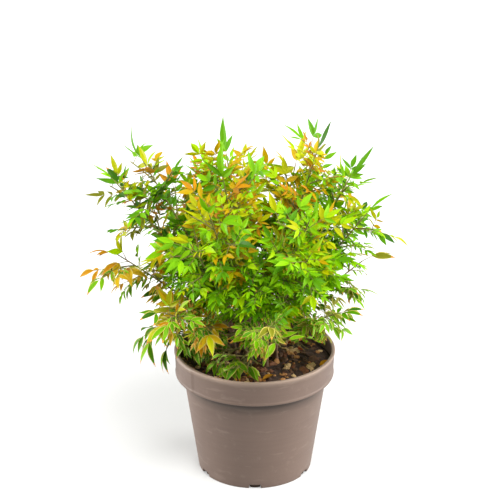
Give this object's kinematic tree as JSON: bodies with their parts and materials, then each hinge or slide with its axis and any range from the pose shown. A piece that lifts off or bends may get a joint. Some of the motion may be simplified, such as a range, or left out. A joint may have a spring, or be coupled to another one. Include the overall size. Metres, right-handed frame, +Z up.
{
  "type": "potted_heavenly_bamboo",
  "caption": "Compact heavenly bamboo shrub with fresh green and golden lance-shaped leaves, standing in a round taupe plastic nursery pot",
  "frame": {"origin": "Centre of the pot's flat underside, on the ground it stands on", "axes": "+Z is up, out of the pot; +X is to the right of someone who looks along +Y at the front"},
  "size_m": [0.4788, 0.4259, 0.5468],
  "materials": {
    "pot_plastic": "matte",
    "potting_mix": "matte",
    "stem_wood": "matte",
    "leaves": "satin"
  },
  "bodies": {
    "root": {"bough_middle_1": "stem_wood", "bough_middle_2": "stem_wood", "bough_middle_3": "stem_wood", "bough_middle_4": "stem_wood", "bough_middle_5": "stem_wood", "bough_middle_6": "stem_wood", "bough_middle_7": "stem_wood", "bough_shoulder_1": "stem_wood", "bough_shoulder_2": "stem_wood", "bough_shoulder_3": "stem_wood", "bough_shoulder_4": "stem_wood", "bough_shoulder_5": "stem_wood", "bough_shoulder_6": "stem_wood", "bough_skirt_1": "stem_wood", "bough_skirt_2": "stem_wood", "bough_skirt_3": "stem_wood", "bough_skirt_4": "stem_wood", "bough_skirt_5": "stem_wood", "cane_top_1": "stem_wood", "cane_top_2": "stem_wood", "cane_top_3": "stem_wood", "cane_upper_1": "stem_wood", "cane_upper_2": "stem_wood", "cane_upper_3": "stem_wood", "cane_upper_4": "stem_wood", "cane_upper_5": "stem_wood", "cane_upper_6": "stem_wood", "foliage_middle_1": "leaves", "foliage_middle_2": "leaves", "foliage_middle_3": "leaves", "foliage_middle_4": "leaves", "foliage_middle_5": "leaves", "foliage_middle_6": "leaves", "foliage_middle_7": "leaves", "foliage_shoulder_1": "leaves", "foliage_shoulder_2": "leaves", "foliage_shoulder_3": "leaves", "foliage_shoulder_4": "leaves", "foliage_shoulder_5": "leaves", "foliage_shoulder_6": "leaves", "foliage_skirt_1": "leaves", "foliage_skirt_2": "leaves", "foliage_skirt_3": "leaves", "foliage_skirt_4": "leaves", "foliage_skirt_5": "leaves", "foliage_top_1": "leaves", "foliage_top_2": "leaves", "foliage_top_3": "leaves", "foliage_upper_1": "leaves", "foliage_upper_2": "leaves", "foliage_upper_3": "leaves", "foliage_upper_4": "leaves", "foliage_upper_5": "leaves", "foliage_upper_6": "leaves", "pot": "pot_plastic", "potting_mix": "potting_mix"}
  },
  "joints": []
}
